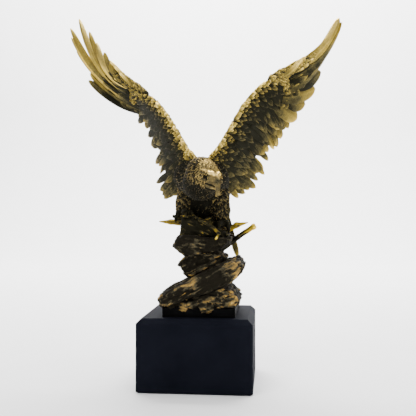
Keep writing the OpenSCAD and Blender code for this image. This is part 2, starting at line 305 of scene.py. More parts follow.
def convex(p, planes, round_by):
    """Convex block with edges rounded by about this much."""
    normals, offsets = planes
    field = np.full(p.shape[:-1], -1e3)
    for n, d in zip(normals, offsets):
        field = -join(-field, -(p @ n - d), round_by)
    return field


# ---- feathers

FINE_RING = [-1, -0.88, -0.6, -0.32, -0.1, 0, 0.1, 0.32, 0.6, 0.88, 1]
PLAIN_RING = [-1, -0.7, -0.2, 0.2, 0.7, 1]


def vane(u, blunt=2.4, start=0.55, neck=0.6):
    """Half width of a feather along its length, as a share of its widest."""
    fall = np.clip((u - start) / (1 - start), 0, 1)
    return np.maximum((neck + (1 - neck) * smooth(u, 0, 0.35)) * np.sqrt(1 - fall**blunt), 0.05)


def blades(clay, spine, face, half, thick, gild_and_painted_light, tone, fine=False, rib=0.25, barb=0.0, pitch=2.2,
           camber=0.12, roll=0.0, bright=0.0, rim=0.38):
    """Adds feathers. spine is each one's shaft and face points out of its vane, both (count, rows, 3)."""
    count, rows, _ = spine.shape
    run = unit(np.gradient(spine, axis=1))
    side = unit(np.cross(run, face))
    face = unit(np.cross(side, run))
    roll = np.broadcast_to(roll, count)[:, None, None]
    side, face = side * np.cos(roll) + face * np.sin(roll), face * np.cos(roll) - side * np.sin(roll)
    top = np.array(FINE_RING if fine else PLAIN_RING)
    across = np.concatenate([top, top[::-1]])
    sign = np.concatenate([np.ones(len(top)), -np.ones(len(top))])
    u = np.linspace(0, 1, rows)[None, :, None]
    length = np.linalg.norm(spine[:, -1] - spine[:, 0], axis=-1)[:, None, None]
    body = 0.3 + 0.7 * (1 - across**2)
    shaft = np.exp(-((across / 0.14) ** 2)) * (1 - 0.6 * u)
    barbs = np.sin(2 * math.pi * (u * length - np.abs(across) * 2.4) / pitch)
    comb = barbs * (1 - shaft) * smooth(u, 0.05, 0.2)
    edge = smooth(1 - np.abs(across), 0, 0.3)
    height = thick[..., None] * body + rib * shaft + barb * comb * edge
    height = sign * height - camber * half[..., None] * across**2
    points = (
        spine[:, :, None]
        + side[:, :, None] * (half[..., None] * across)[..., None]
        + face[:, :, None] * height[..., None]
    )
    grain = rng.uniform(-0.12, 0.12, (count, 1, 1))
    border = np.maximum(smooth(u, 0.82, 1.0), np.abs(across) ** 6 * smooth(u, 0.3, 0.8))
    wear_and_painted_light = (0.05 + 0.4 * smooth(u, 0.25, 0.95) + 0.16 * shaft + rim * border
            + min(0.12, barb) * comb + grain + bright)
    everywhere = np.ones((count, rows, len(across)))
    gild_and_painted_light = np.reshape(gild_and_painted_light, (-1, 1, 1)) * everywhere
    tone = np.reshape(tone, (-1, 1, 1)) * everywhere
    clay.add(points, tube_quads(count, rows, len(across)), wear_and_painted_light * everywhere, gild_and_painted_light, tone)


def normals_of(surface, a, b, nudge=0.01):
    """Unit normal of surface(a, b) by small steps."""
    along_a = surface(a + nudge, b) - surface(a - nudge, b)
    along_b = surface(a, b + nudge) - surface(a, b - nudge)
    return unit(np.cross(along_a, along_b))


def row_on(clay, surface, turn, a_from, a_to, b_from, b_to, width, thick=0.7, lift=0.5, rise=1.0, gild_and_painted_light=0.4,
           rows=7, jitter=0.08, spread=0.0, **looks):
    """Lays one feather per a_from on a surface: root at (a_from, b_from), tip at (a_to, b_to).

    turn is 1 or -1 so that the surface's normal points outwards. width is half the vane's width."""
    count = len(a_from)
    u = np.linspace(0, 1, rows)[None]
    reach = (b_to - b_from) * (1 + rng.uniform(-jitter, jitter, count) * 1.6)
    lean = (a_to - a_from) * (1 + rng.uniform(-jitter, jitter, count) * 3)
    a = a_from[:, None] + lean[:, None] * u
    start = b_from + rng.uniform(-0.3, 0.3, count) * jitter * np.abs(b_to - b_from)
    b = start[:, None] + reach[:, None] * u
    face = normals_of(surface, a, b) * turn
    up = lift + (rise * (1 + rng.uniform(-0.5, 0.5, count)))[:, None] * u**1.6
    spine = surface(a, b) + face * up[..., None]
    widths = width * (1 + rng.uniform(-jitter, jitter, count) * 1.5)
    half = widths[:, None] * vane(u, **looks.pop("vane", {}))
    thickness = thick * (0.5 + 0.5 * smooth(u, 0, 0.3)) * (1 - 0.45 * u) * np.ones((count, 1))
    roll = rng.normal(spread, 0.1, count)
    blades(clay, spine, face, half, thickness, gild_and_painted_light, rng.uniform(0, 1, count), roll=roll, **looks)


def scales_over(clay, shape, bounds, spacing, length, width, flow, gild_and_painted_light, keep=None, thick=0.6, lift=0.2,
                rise=0.8, rows=5, blunt=1.8, bright=0.0):
    """Covers a distance field with small overlapping feathers that point along flow(points)."""
    low, high = bounds[0] - 2 * spacing, bounds[1] + 2 * spacing
    seeds, _ = skin_of(shape(grid(low, high, spacing)), low, spacing)
    seeds = seeds + rng.uniform(-0.3, 0.3, seeds.shape) * spacing
    nudge = np.eye(3) * 0.3
    for _ in range(2):
        slope = np.stack([shape(seeds + n) - shape(seeds - n) for n in nudge], axis=-1)
        face = unit(slope)
        seeds = seeds - face * shape(seeds)[:, None]
    if keep is not None:
        wanted = keep(seeds)
        seeds, face = seeds[wanted], face[wanted]
    way = flow(seeds)
    way = way + rng.normal(0, 0.16, way.shape)
    way = unit(way - face * np.sum(way * face, axis=-1, keepdims=True))
    count = len(seeds)
    u = np.linspace(0, 1, rows)[None, :, None]
    size = rng.uniform(0.8, 1.2, count)[:, None, None]
    spine = seeds[:, None] + way[:, None] * (u - 0.35) * length * size
    height = shape(spine)
    spine = spine + face[:, None] * (lift - 0.7 * height[..., None] + rise * size * u**1.5)
    faces = np.broadcast_to(face[:, None], spine.shape)
    half = width * size[..., 0] * vane(u[..., 0], blunt=blunt, start=0.35, neck=0.7)
    thickness = thick * (1 - 0.4 * u[..., 0]) * np.ones((count, 1))
    gild_and_painted_light = gild_and_painted_light(seeds) if callable(gild_and_painted_light) else np.full(count, gild_and_painted_light)
    blades(clay, spine, faces, half, thickness, gild_and_painted_light, np.clip(rng.normal(0.5, 0.25, count), 0, 1),
           camber=0.3, roll=rng.normal(0, 0.12, count), bright=bright)


# ---- wings


class Wing:
    """Planform and skins of one wing. a runs from shoulder to wrist, b round the section from the trailing
    edge (-1, back of the wing) over the leading edge (0) to the trailing edge again (1, underside)."""

    def __init__(self, side, lead, trail, roots, tips, tuft, bow, thick, breadth, gilding_and_highlight):
        whole = box(side + "_wing_arm", side + "_wing_hand")
        self.lead, self.trail = spot(whole, lead), spot(whole, trail)
        self.roots, self.tips = spot(whole, roots), spot(whole, tips)
        self.tuft = spot(whole, tuft)
        self.bow = bow
        self.thick = thick
        self.breadth = np.array(breadth)[:, None]
        self.gilding_and_highlight = np.array(gilding_and_highlight)[:, None]
        middle = np.array([0.5])
        chord = curve(self.trail, middle) - curve(self.lead, middle)
        run = curve(self.lead, middle + 0.1) - curve(self.lead, middle)
        self.hand_sign = np.sign(-np.cross(chord, run)[0, 1])
        self.turn = np.sign(np.sum(normals_of(self.skin, middle, middle) * self.face(middle)))
        self.hand_turn = np.sign(np.sum(normals_of(self.hand, middle, middle) * self.face(middle)))

    def face(self, a):
        """Unit vector out of the underside."""
        chord = curve(self.trail, a) - curve(self.lead, a)
        run = curve(self.lead, a + 0.05) - curve(self.lead, a - 0.05)
        return unit(np.cross(chord, run)) * self.hand_sign

    def skin(self, a, b):
        s = b * b
        lead, trail = curve(self.lead, a), curve(self.trail, a)
        root = np.sqrt(np.minimum(s, 1))
        inner = np.minimum(s, 1)
        naca = 2.969 * root - 1.26 * inner - 3.516 * inner**2 + 2.843 * inner**3 - 1.015 * inner**4
        end = np.sqrt(np.clip(1 - np.clip((a - 0.9) / 0.12, 0, 1) ** 2, 0.02, 1))
        thick = self.thick[0] + (self.thick[1] - self.thick[0]) * a
        half = thick * naca * end + 0.35 * smooth(np.abs(b), 0, 0.3)
        sag = -2.6 * np.sin(math.pi * np.clip(s, 0, 1))
        return lead + (trail - lead) * s[..., None] + self.face(a) * (np.sign(b) * half + sag)[..., None]

    def hand(self, j, u):
        """Surface through the primaries' shafts: j runs from the innermost outwards, u from root to tip."""
        root = curve(self.roots, j)
        tip = curve(self.tips, j)
        way = tip - root
        length = np.linalg.norm(way, axis=-1)
        bulge = self.bow * length * np.sin(math.pi * np.clip(u, 0, 1) ** 0.9) * (0.35 + 0.65 * j)
        return root + way * u[..., None] + self.face(np.array([0.9])) * bulge[..., None]


def stations(count, low, high, stir=0.25):
    """Evenly spaced values between low and high, a little stirred."""
    gap = (high - low) / count
    return low + gap * (np.arange(count) + 0.5 + rng.uniform(-stir, stir, count))


def pillow(clay, surface, a_range, b_range, thick, gild_and_painted_light):
    """A closed lens that lies along a surface, thick in the middle."""
    rows, cols = 24, 20
    a = np.linspace(*a_range, rows)[:, None]
    b = np.linspace(*b_range, cols)[None]
    a, b = np.broadcast_arrays(a, b)
    rim = (np.sin(math.pi * np.linspace(0.02, 0.98, rows))[:, None]
           * np.sin(math.pi * np.linspace(0.02, 0.98, cols))[None]) ** 0.35
    face = normals_of(surface, a, b)
    middle = surface(a, b)
    points = np.concatenate([middle + face * (thick * rim)[..., None],
                             (middle - face * (thick * rim)[..., None])[:, ::-1]], axis=1)
    clay.add(points, tube_quads(1, rows, 2 * cols), 0.15, gild_and_painted_light, 0.5)


# Rows of the inner wing, from the secondaries to the leading edge. b is where a row starts and ends on the
# chord, n its number of feathers, w their half width, and lean how far their tips lie towards the wrist.
COVERT = dict(thick=0.8, fine=False, barb=0, bright=0, stir=0.3, vane=dict(blunt=2.0, start=0.4, neck=0.7))
SMALL = dict(COVERT, vane=dict(blunt=2.0, start=0.4, neck=0.8))
ROW_LOOKS = "thick", "lift", "rise", "rows", "fine", "barb", "vane", "bright"
ARM_ROWS = [
    dict(COVERT, n=13, b=(0.62, 1.015), w=4.0, thick=0.9, lift=0.0, rise=0.6, rows=30, lean=0.1, gild_and_painted_light=0.36,
         fine=True, barb=0.05, stir=0.15, vane=dict(blunt=2.6, start=0.62, neck=0.7)),
    dict(COVERT, n=17, b=(0.56, 0.87), w=3.4, lift=0.9, rise=1.5, rows=14, lean=0.07, gild_and_painted_light=0.34,
         fine=True, barb=0.05, stir=0.25, vane=dict(blunt=2.2, start=0.5, neck=0.7)),
    dict(COVERT, n=20, b=(0.47, 0.74), w=3.0, lift=0.9, rise=1.6, rows=9, lean=0.06, gild_and_painted_light=0.26),
    dict(COVERT, n=23, b=(0.38, 0.62), w=2.6, lift=0.7, rise=1.6, rows=8, lean=0.05, gild_and_painted_light=0.24),
    dict(COVERT, n=26, b=(0.29, 0.51), w=2.3, lift=0.5, rise=1.5, rows=7, lean=0.045, gild_and_painted_light=0.26),
    dict(COVERT, n=29, b=(0.2, 0.41), w=2.1, lift=0.4, rise=1.3, rows=7, lean=0.04, gild_and_painted_light=0.34),
    dict(SMALL, n=32, b=(0.11, 0.31), w=1.9, thick=0.9, lift=0.3, rise=1.2, rows=6, lean=0.035, gild_and_painted_light=0.5),
    dict(SMALL, n=34, b=(0.02, 0.21), w=1.8, thick=1.0, lift=0.2, rise=1.0, rows=6, lean=0.03, gild_and_painted_light=0.68,
         stir=0.35, bright=0.12),
]


def build_arm(wing, painted_shading):
    """Inner wing: a thin core with its rows of coverts and secondaries on both sides.

    The last argument takes this much gilding off the rows behind the leading edge, as painted shade."""
    clay = Clay()
    a = np.linspace(-0.04, 1.0, 60)
    points = wing.skin(*np.broadcast_arrays(a[:, None], np.linspace(-0.9, 0.9, 48)[None]))
    quads = tube_quads(1, len(a), 48)
    if wing.turn > 0:
        quads = quads[:, ::-1]
    clay.add(points, quads, 0.2, 0.25, 0.5)
    for under in (1, -1):
        for row in ARM_ROWS:
            start, end = row["b"]
            a0 = stations(row["n"], -0.02, 0.97, row["stir"])
            looks = {key: row[key] for key in ROW_LOOKS}
            row_on(clay, wing.skin, wing.turn, a0, a0 + row["lean"], under * start, under * end, row["w"],
                   gild_and_painted_light=row["gild_and_painted_light"] - painted_shading * (start > 0.15), rib=0.2, jitter=0.12, spread=0.12 * under,
                   rim=0.3 - 0.16 * (0.25 < start < 0.6), **looks)
    # knuckle feathers round the leading edge
    a0 = stations(44, 0.0, 1.0, 0.4)
    row_on(clay, wing.skin, wing.turn, a0, a0 + 0.035, -0.08, 0.1, 1.9, thick=1.1, lift=0.2, rise=1.1,
           gild_and_painted_light=0.8, rows=6, jitter=0.3, bright=0.15)
    return clay


# Coverts of the hand: feather count, start and end along the primaries, half width and gilding
HAND_COVERTS = [(8, 0.1, 0.42, 4.4, 0.3), (9, 0.02, 0.3, 3.8, 0.34), (9, -0.06, 0.2, 3.2, 0.36)]


def build_hand(wing, painted_shading):
    """Outer wing: ten primaries, with coverts over their roots on both sides."""
    clay = Clay()
    count = 10
    j = np.linspace(0, 1, count)
    rows = 72
    u = np.linspace(0, 1, rows)[None]
    jj = np.broadcast_to(j[:, None], (count, rows))
    uu = np.broadcast_to(u, (count, rows))
    face = normals_of(wing.hand, np.clip(jj, 0.02, 0.98), np.clip(uu, 0.02, 0.98)) * wing.hand_turn
    spine = wing.hand(jj, uu)
    order = (np.arange(count) % 2 - 0.5)[:, None, None]
    spine = spine + face * (1.3 * order + 1.6 * np.sin(math.pi * uu)[..., None] * 0.3)
    width = curve(wing.breadth, j)
    half = width * vane(uu, blunt=2.8, start=0.5, neck=0.75)
    thick = 0.9 * (1 - 0.5 * uu) + 0.1
    # alternate primaries are gilded more and less: partly a painted shade for the dark lines between
    # overlapping feathers
    gild_and_painted_light = curve(wing.gilding_and_highlight, j)[:, 0] + 0.36 * order[:, 0, 0]
    blades(clay, spine, face, half, thick, gild_and_painted_light, rng.uniform(0.2, 1, count), fine=True,
           rib=0.3, barb=0.01, pitch=2.0, camber=0.1, roll=0.22 * wing.hand_sign, bright=0.1, rim=0.15)
    pillow(clay, wing.hand, (0.0, 1.0), (-0.05, 0.4), 1.6, gild_and_painted_light=0.2)
    # the hand coverts lose the painted shading from their gilding, and the wrist feathers lose half of it
    for under in (1, -1):
        for n, start, end, breadth, gilding_and_highlight in HAND_COVERTS:
            j0 = stations(n, 0.02, 0.9, 0.2)
            row_on(clay, wing.hand, wing.hand_turn * under, j0, np.clip(j0 - 0.02, 0, 1), start, end, breadth,
                   thick=0.7, lift=1.2 - start, rise=0.5, gild_and_painted_light=gilding_and_highlight - painted_shading, rows=18, fine=True, barb=0.02,
                   rib=0.25, rim=0.2, vane=dict(blunt=2.2, start=0.5, neck=0.6))
    # the wrist and the bone along the hand's leading edge, under short blunt feathers
    elbow = curve(wing.lead, np.array([0.93, 1.0])) + wing.face(np.array([0.93, 1.0])) * 0.5
    bone = np.concatenate([elbow, wing.hand(np.array([1.0, 0.98]), np.array([0.05, 0.3]))])
    middle = wing.hand(np.array([0.5, 0.5]), np.array([0.0, 0.25]))
    room = np.min([*bone, *middle], axis=0) - 4, np.max([*bone, *middle], axis=0) + 4

    def wrist(p):
        field = chain(p, bone, [3.4, 3.6, 3.2, 2.0], 1.5)
        return join(field, cone(p, bone[1], middle[0], 3.2, 2.6), 3)

    def outwards(p):
        return unit(bone[3] - bone[0]) + 0 * p

    sculpt(clay, wrist, room, 0.8, gild_and_painted_light=0.25, wear_and_painted_light=0.2)
    scales_over(clay, wrist, room, 2.3, 6.0, 1.9, outwards, 0.52 - painted_shading / 2, thick=0.9, rise=1.0, rows=6,
                bright=0.05)
    j0 = stations(9, 0.86, 1.0, 0.3)
    for under in (1, -1):
        for k in range(2):
            base = 0.02 + 0.09 * k
            few = j0[k::4]
            row_on(clay, wing.hand, wing.hand_turn * under, few, few + 0.02, base, base + 0.16, 2.2,
                   thick=1.1, lift=1.0, rise=1.0, gild_and_painted_light=0.75, rows=8, bright=0.15, jitter=0.2)
    return clay


def build_tuft(wing):
    """Alula: three stiff little feathers on the wrist."""
    clay = Clay()
    rows = 30
    u = np.linspace(0, 1, rows)[None, :, None]
    root, tips = wing.tuft[0], wing.tuft[1:]
    way = tips - root
    face = np.broadcast_to(wing.face(np.array([0.9]))[:, None], (len(tips), rows, 3))
    out = unit(np.cross(way, face[:, 0]))[:, None] * wing.hand_sign
    stack = np.arange(3)[:, None, None] * 0.9
    spine = root + way[:, None] * u + out * np.sin(math.pi * u) * 1.4 + face * stack
    half = np.array([3.0, 2.8, 2.5])[:, None] * vane(u[..., 0], blunt=2.6, start=0.6, neck=0.5)
    thick = np.full((len(tips), rows), 0.75)
    blades(clay, spine, face, half, thick, 0.75, np.array([0.8, 0.5, 0.6]), fine=True, rib=0.3, barb=0.08,
           bright=0.15)
    return clay


WINGS = {
    "left": Wing(
        "left",
        lead=[[-0.01, 0.12, 0.16], [0.02, 0.04, 0.22], [0.08, 0.02, 0.27], [0.17, 0.04, 0.38],
              [0.27, 0.09, 0.51], [0.39, 0.15, 0.61], [0.55, 0.24, 0.68]],
        trail=[[0.17, 0.79, 0.01], [0.23, 0.83, 0.0], [0.3, 0.88, 0.09], [0.36, 0.94, 0.17],
               [0.44, 0.99, 0.25], [0.5, 0.99, 0.33], [0.58, 0.97, 0.4]],
        roots=[[0.47, 0.54, 0.52], [0.59, 0.52, 0.6], [0.64, 0.27, 0.72]],
        tips=[[0.58, 0.97, 0.4], [0.67, 0.94, 0.46], [0.74, 0.9, 0.54], [0.81, 0.83, 0.63],
              [0.86, 0.74, 0.72], [0.97, 0.47, 0.94], [0.98, 0.45, 0.96], [1.0, 0.43, 0.98],
              [0.99, 0.4, 1.0], [0.98, 0.38, 1.0]],
        tuft=[[0.56, 0.15, 0.67], [0.73, 0.1, 0.77], [0.7, 0.08, 0.76], [0.67, 0.08, 0.74]],
        bow=0.19,
        thick=(4.5, 2.8),
        breadth=(7.5, 8.0, 6.5, 4.5),
        gilding_and_highlight=(0.36, 0.5, 0.36, 0.8),
    ),
    "right": Wing(
        "right",
        lead=[[1.01, 0.04, 0.16], [0.97, 0.02, 0.21], [0.93, 0.02, 0.24], [0.84, 0.05, 0.35],
              [0.77, 0.09, 0.43], [0.69, 0.13, 0.5], [0.55, 0.18, 0.58]],
        trail=[[0.83, 0.65, 0.0], [0.75, 0.72, 0.01], [0.69, 0.83, 0.09], [0.68, 0.9, 0.18],
               [0.62, 0.96, 0.28], [0.57, 0.99, 0.39], [0.47, 0.99, 0.48]],
        roots=[[0.58, 0.72, 0.47], [0.5, 0.54, 0.54], [0.43, 0.22, 0.65]],
        tips=[[0.13, 0.69, 0.67], [0.14, 0.72, 0.71], [0.04, 0.61, 0.83], [0.01, 0.58, 0.91],
              [0.0, 0.54, 0.96], [0.09, 0.43, 1.0], [0.17, 0.36, 0.92], [0.24, 0.29, 0.85],
              [0.3, 0.23, 0.79], [0.36, 0.18, 0.73]],
        tuft=[[0.57, 0.13, 0.57], [0.36, 0.09, 0.73], [0.4, 0.07, 0.7], [0.44, 0.07, 0.67]],
        bow=0.16,
        thick=(4.5, 2.8),
        breadth=(5.0, 4.0, 3.6, 3.4),
        # partly painted highlight: the middle primaries of this wing are gilded much brighter than the other
        # wing's, for light reflecting off them
        gilding_and_highlight=(0.36, 0.62, 1.0, 0.85, 0.6),
    ),
}

# ---- body

TORSO = box("torso")
CHEST, BELLY, RUMP = spot(TORSO, [[0.44, 0.24, 0.6], [0.51, 0.5, 0.53], [0.59, 0.79, 0.29]])
TAILWARDS = unit(RUMP - CHEST)


def torso_shape(p):
    field = cone(p, CHEST, BELLY, 17.5, 19.5)
    field = join(field, cone(p, BELLY, RUMP, 19, 12), 6)
    field = join(field, ball(p, CHEST + [-1, 6, 3], [23, 14, 15]), 6)
    return join(field, ball(p, BELLY - [3, 0, 17], [17, 15, 16]), 6)


def body_flow(p):
    """Body feathers lie back towards the tail, and hang down at the front."""
    front = smooth(CHEST[1] + 6 - p[..., 1], 0, 18)[..., None]
    return TAILWARDS * (1 - 0.7 * front) + np.array([0.0, 0.1, -1.0]) * front * 0.9


def build_torso():
    clay = Clay()
    sculpt(clay, torso_shape, TORSO, 1.2, gild_and_painted_light=0.05, wear_and_painted_light=0.05)
    scales_over(clay, torso_shape, TORSO, 3.0, 8.0, 2.5, body_flow, 0.03, thick=0.8, rise=1.2, rows=6)
    return clay


# Head: side, forward and up axes. It is turned to the bird's left and tipped down.
HEAD = box("head")
HEAD_TURN = math.radians(52)
HEAD_TIP = math.radians(26)
HEAD_ROLL = math.radians(2)
FORWARD = np.array([math.sin(HEAD_TURN) * math.cos(HEAD_TIP), -math.cos(HEAD_TURN) * math.cos(HEAD_TIP),
                    -math.sin(HEAD_TIP)])
LEVEL = unit(np.cross(FORWARD, [0, 0, 1]))
SIDE = LEVEL * math.cos(HEAD_ROLL) + np.cross(LEVEL, FORWARD) * math.sin(HEAD_ROLL)
UP = np.cross(SIDE, FORWARD)
SKULL = spot(HEAD, [0.66, 0.35, 0.58])
NAPE, THROAT = spot(HEAD, [[0.5, 0.78, 0.52], [0.5, 0.52, 0.4]])


def in_head(p):
    """Skull coordinates: sideways without sign, forward, up."""
    q = (p - SKULL) @ np.stack([SIDE, FORWARD, UP], axis=-1)
    return np.stack([np.abs(q[..., 0]), q[..., 1], q[..., 2]], axis=-1)


def beak_shape(q):
    """Hooked upper bill, flattened at the sides, and the lower bill under it."""
    q = q * np.array([1.25, 1, 1])
    ridge = [[0, 8, 1.2], [0, 13, 0.9], [0, 17.5, -0.4], [0, 20.6, -3.6], [0, 21.4, -7.6], [0, 20.2, -11.4]]
    upper = chain(q, ridge, [4.8, 4.4, 3.8, 3.2, 2.4, 0.8], 1.5)
    lower = chain(q, [[0, 7, -4.6], [0, 13, -5.2], [0, 16.6, -5.8]], [3.6, 2.6, 1.5], 1.0)
    return join(upper, lower, 0.5)


def mouth(q):
    """1 along the gape, falling off to both sides."""
    line = np.exp(-(((q[..., 2] + 4.6 + 0.1 * (q[..., 1] - 12)) / 0.8) ** 2))
    return 0.6 * line * smooth(q[..., 1], 1, 5) * smooth(q[..., 1], 18, 15)


def head_shape(p):
    q = in_head(p)
    field = ball(q, [0, -1, 1.2], [10.6, 13.5, 9.2])
    field = join(field, ball(q, [3.5, 4.0, -3.6], [6.0, 9.0, 6.4]), 4)
    field = join(field, beak_shape(q), 2.0)
    field = cut(field, ball(q, [8.2, 7.6, 0.9], [2.2, 3.2, 1.9]), 1.0)
    field = join(field, cone(q, [8.4, 1.0, 2.8], [4.4, 10.8, 5.2], 1.8, 1.8), 1.0)
    field = join(field, cone(q, [4.4, 10.8, 5.2], [0, 13.0, 4.2], 1.9, 1.6), 1.0)
    field = join(field, ball(q, [6.6, 7.8, 0.7], 1.8), 0.3)
    return cut(field + 1.3 * mouth(q), ball(q, [3.9, 13.8, 2.2], [1.2, 1.5, 0.8]), 0.4)


def neck_shape(p):
    field = cone(p, SKULL - FORWARD * 5, THROAT, 11.5, 13.5)
    return join(field, cone(p, THROAT, NAPE, 13.5, 17.5), 6)


def bust_shape(p):
    return join(head_shape(p), neck_shape(p), 7)


def brow(q):
    """1 on the ridge over the eyes and the bridge of the bill."""
    ridge = np.minimum(cone(q, [9.0, 1.5, 3.6], [4.6, 11.0, 6.0], 1.0, 1.2),
                       cone(q, [4.6, 11.0, 6.0], [0, 13.4, 4.9], 1.2, 1.0))
    return smooth(-ridge, -1.9, -0.4)


def bare(q):
    """1 on bill, brow and eye, 0 on feathers."""
    bill = smooth(q[..., 1], 9.0, 11.5) * smooth(-q[..., 2], -6.5, -4.5)
    eye = smooth(3.4 - np.linalg.norm(q - np.array([7.4, 7.6, 0.7]), axis=-1), 0, 1)
    return np.maximum(bill, eye)


def head_relief(p):
    q = in_head(p)
    skin = bare(q)
    strand = fractal(q + 0.6 * noise(p, 5, 3)[..., None], [0.9, 3.6, 0.9], 21, 2)
    lump = noise(p, 3.2, 8)
    height = (1 - skin) * (0.5 * strand + 0.35 * lump) + skin * 0.08 * noise(p, 1.4, 5)
    ridge = brow(q)
    bill = smooth(q[..., 1], 9.5, 12.5)
    apple = np.linalg.norm(q - np.array([6.6, 7.8, 0.7]), axis=-1)
    socket = smooth(3.6 - apple, 0, 1.4) * (1 - ridge)
    gape = mouth(q)
    # painted shadow: under the jaw the throat is made darker and less golden, standing in for shade
    jaw_shadow = smooth(-7.5 - q[..., 2], 0, 3) * (1 - bill)
    culmen = bill * smooth(2.6 - q[..., 0], 0, 1.6)
    wear_and_painted_light = (0.46 + 0.22 * strand + 0.12 * lump + 0.42 * ridge + 0.12 * culmen - 0.6 * gape - 0.35 * socket
            - 0.4 * jaw_shadow)
    gild_and_painted_light = 0.44 + 0.5 * ridge + 0.02 * culmen - 0.4 * gape - 0.35 * jaw_shadow - 0.25 * socket
    return height, np.clip(wear_and_painted_light, 0, 1), np.clip(gild_and_painted_light, 0, 1)


def build_head():
    clay = Clay()
    sculpt(clay, bust_shape, HEAD, 0.5, head_relief, reach=2.0)

    def behind(q):
        """How far a place lies behind the face, from 0 on it to 1 on the neck."""
        return smooth(-q[..., 1] - 0.25 * q[..., 2], -4, 8)

    def hackles(seeds):
        q = in_head(seeds)
        return (behind(q) > 0.35) | ((q[:, 2] < -8.5) & (q[:, 1] < 7))

    def fuzz(seeds):
        q = in_head(seeds)
        return ~hackles(seeds) & (bare(q) < 0.5) & (brow(q) < 0.3) & (q[:, 1] > -12)

    def flow(p):
        droop = 0.8 * smooth(SKULL[2] + 6 - p[..., 2], 0, 12)[..., None]
        return unit(NAPE - SKULL) * 0.75 - UP * droop + np.array([0, 0, -0.15])

    def gild_and_painted_light(p):
        q = in_head(p)
        crown = 0.12 * smooth(q[:, 2], 4, 8)
        # the last term is a painted shadow that darkens the feathers under the jaw
        return 0.62 + crown - 0.28 * behind(q) - 0.45 * smooth(-6.5 - q[:, 2], 0, 3)

    scales_over(clay, bust_shape, HEAD, 2.0, 5.5, 1.1, flow, gild_and_painted_light, hackles, thick=0.5, lift=0.0, rise=0.5,
                blunt=1.5)
    scales_over(clay, bust_shape, HEAD, 1.5, 3.6, 0.75, flow, gild_and_painted_light, fuzz, thick=0.3, lift=0.05, rise=0.2,
                rows=4, blunt=1.5, bright=0.1)
    return clay


def build_leg(side):
    bounds = box(side + "_leg")
    ankle = spot(box(side + "_foot"), [0.42, 0.55, 0.5])
    hip = spot(bounds, [0.5, 0.5, 0.72])
    hip = hip + (BELLY - hip) * 0.12

    def shape(p):
        return join(cone(p, hip, (hip + ankle) / 2, 10, 8), cone(p, (hip + ankle) / 2, ankle, 8, 5.4), 3)

    def flow(p):
        return unit(ankle - hip) + 0 * p

    clay = Clay()
    room = np.minimum(bounds[0], ankle - 5), np.maximum(bounds[1], hip + 10)
    sculpt(clay, shape, room, 1.0, gild_and_painted_light=0.15, wear_and_painted_light=0.15)
    scales_over(clay, shape, room, 2.5, 7.5, 1.9, flow, 0.22, thick=0.7, rise=1.1, rows=6)
    return clay


def build_foot(side, turn, painted_claw_highlight):
    bounds = box(side + "_foot")
    heel = spot(bounds, [0.5, 0.56, 0.52])
    clay = Clay()

    def shape(p):
        field = cone(p, heel, heel + [0, 2, 9], 3.6, 4.0)
        for degrees in (-38, 0, 38, 180):
            way = math.radians(turn + degrees)
            out = np.array([math.sin(way), -math.cos(way), 0])
            front = degrees == 0
            long = 1.15 if front else 0.72
            drop = 9.0 if front else 3.4
            toe = [heel + out * reach * long + [0, 0, rise]
                   for reach, rise in ((0, -0.5), (6, 0.6), (13, -1.0), (15.4, -drop))]
            field = join(field, chain(p, toe, [3.2, 2.9, 2.4, 1.7], 1.0), 1.2)
            claw = [toe[3] + out * reach + [0, 0, rise]
                    for reach, rise in ((0, 0.2), (2.2, -2.8), (1.6, -6.6))]
            field = join(field, chain(p, claw, [1.9, 1.3, 0.35], 0.6), 0.4)
        return field

    def relief(p):
        r = np.linalg.norm((p - heel)[..., :2], axis=-1)
        scute = np.sin(r * 2 * math.pi / 2.3) * smooth(14.6 - r, 0, 1)
        grain = noise(p, 1.6, 4)
        claw = smooth(r, 14, 16)
        # painted highlight: on one foot the lower claws are made worn and golden, standing in for a glint
        lit = claw * smooth(heel[2] - p[..., 2], 8, 10) * painted_claw_highlight
        wear_and_painted_light = 0.3 + 0.25 * scute + 0.2 * grain + 0.15 * claw + 0.6 * lit
        return 0.22 * scute + 0.15 * grain, np.clip(wear_and_painted_light, 0, 1), np.clip(0.16 + 0.8 * lit, 0, 1)

    room = np.minimum(bounds[0], heel - [19, 19, 12]), np.maximum(bounds[1], heel + [19, 19, 13])
    sculpt(clay, shape, room, 0.6, relief, reach=1.2)
    return clay


